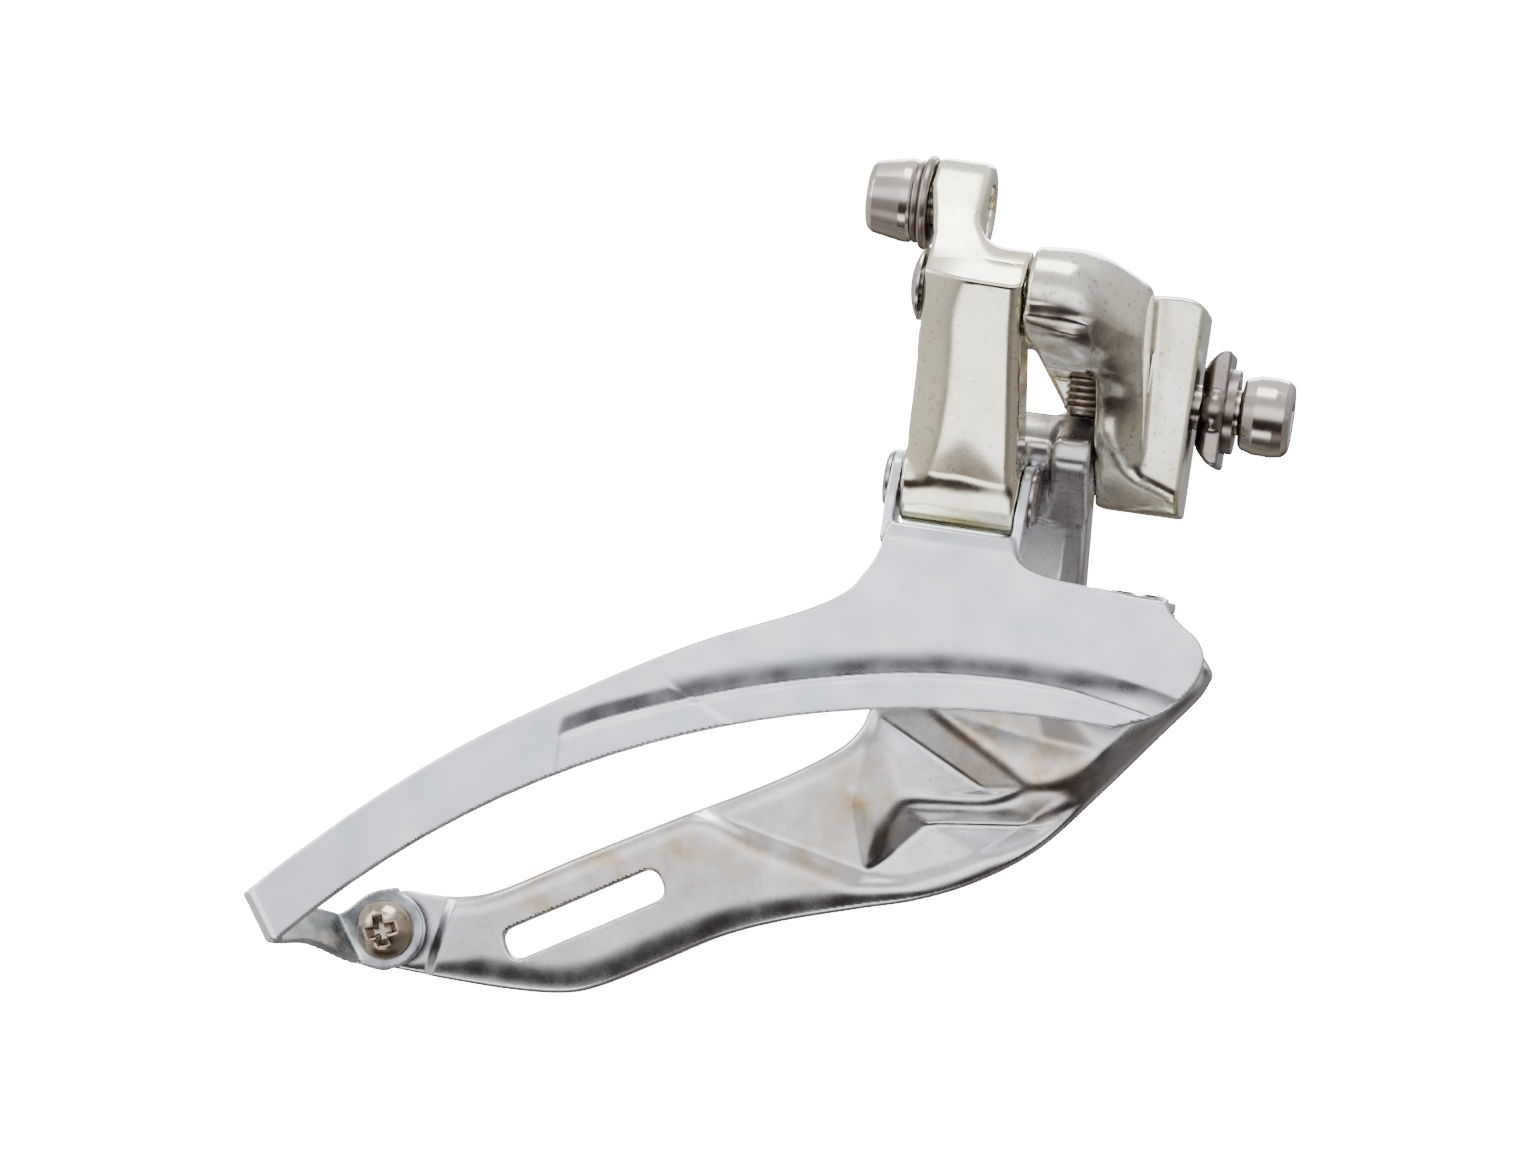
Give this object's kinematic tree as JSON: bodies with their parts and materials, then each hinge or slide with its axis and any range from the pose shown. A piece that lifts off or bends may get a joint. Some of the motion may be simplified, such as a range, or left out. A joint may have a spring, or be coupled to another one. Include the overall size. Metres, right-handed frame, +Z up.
{
  "type": "front derailleur",
  "caption": "Bicycle front derailleur for a fixing-bolt hanger: a sprung parallelogram of two links swings a long formed-steel chain cage outboard when the cable pulls its arm.",
  "frame": {"origin": "Where the fixing-bolt axis meets the bracket's hollow mounting face.", "axes": "+X runs forward along the fixing bolt, out of its head; +Y points inboard, towards the frame's middle plane; +Z points up the seat tube."},
  "size_m": [0.104, 0.0357, 0.0978],
  "materials": {
    "bracket_alloy": "polished",
    "link_alloy": "polished",
    "inner_link_alloy": "cast, lightly polished",
    "fastener_steel": "turned",
    "clamp_steel": "dark turned",
    "pin_steel": "satin",
    "spring_steel": "drawn wire",
    "limit_screw_steel": "dark",
    "bush_polymer": "matte",
    "outer_plate_steel": "satin, plated",
    "inner_plate_steel": "plated, brushed",
    "cage_screw_steel": "plated"
  },
  "bodies": {
    "bracket": {"bracket": "bracket_alloy", "fixing_bolt": "fastener_steel", "saddle_washer": "fastener_steel", "flat_washer": "fastener_steel", "upper_outer_pin": "pin_steel", "upper_inner_pin": "pin_steel", "return_spring": "spring_steel"},
    "outer_link": {"outer_link": "link_alloy", "outer_link_upper_bush": "bush_polymer", "outer_link_lower_bush": "bush_polymer", "cable_bolt": "fastener_steel", "cable_clamp_plate": "clamp_steel", "cable_bolt_washer": "clamp_steel"},
    "inner_link": {"inner_link": "inner_link_alloy", "inner_link_upper_bush": "bush_polymer", "inner_link_lower_bush": "bush_polymer"},
    "cage": {"outer_plate": "outer_plate_steel", "inner_plate": "inner_plate_steel", "cage_screw": "cage_screw_steel", "cage_nut": "cage_screw_steel", "rear_bridge_rivet": "pin_steel", "front_bridge_rivet": "pin_steel", "lower_outer_pin": "pin_steel", "lower_inner_pin": "pin_steel"},
    "high_limit_screw": {"high_limit_screw": "limit_screw_steel"},
    "low_limit_screw": {"low_limit_screw": "limit_screw_steel"}
  },
  "joints": [
    {"name": "outer_link_swing", "type": "hinge", "parent": "bracket", "child": "outer_link", "pos_m": [-0.023, -0.019, 0.008], "axis": [-1, 0, 0], "range_deg": [0, 31], "stiffness_Nm_per_rad": 0.3, "springref_deg": -85.94, "deforming": ["return_spring"]},
    {"name": "inner_link_swing", "type": "hinge", "parent": "bracket", "child": "inner_link", "pos_m": [-0.014, -0.003, -0.0073], "axis": [-1, 0, 0], "range_deg": [0, 31]},
    {"name": "cage_pivot", "type": "hinge", "parent": "outer_link", "child": "cage", "pos_m": [-0.023, -0.00766, -0.01247], "axis": [-1, 0, 0], "range_deg": [-31, 0]},
    {"name": "high_limit_turn", "type": "hinge", "parent": "bracket", "child": "high_limit_screw", "pos_m": [-0.0116, -0.0072, 0.009], "axis": [0, 0, 1], "continuous": true},
    {"name": "low_limit_turn", "type": "hinge", "parent": "bracket", "child": "low_limit_screw", "pos_m": [-0.0116, 0.0012, 0.009], "axis": [0, 0, 1], "continuous": true}
  ],
  "couplings": [
    {"joint": "inner_link_swing", "follows": "outer_link_swing", "ratio": 1},
    {"joint": "cage_pivot", "follows": "outer_link_swing", "ratio": -1}
  ]
}
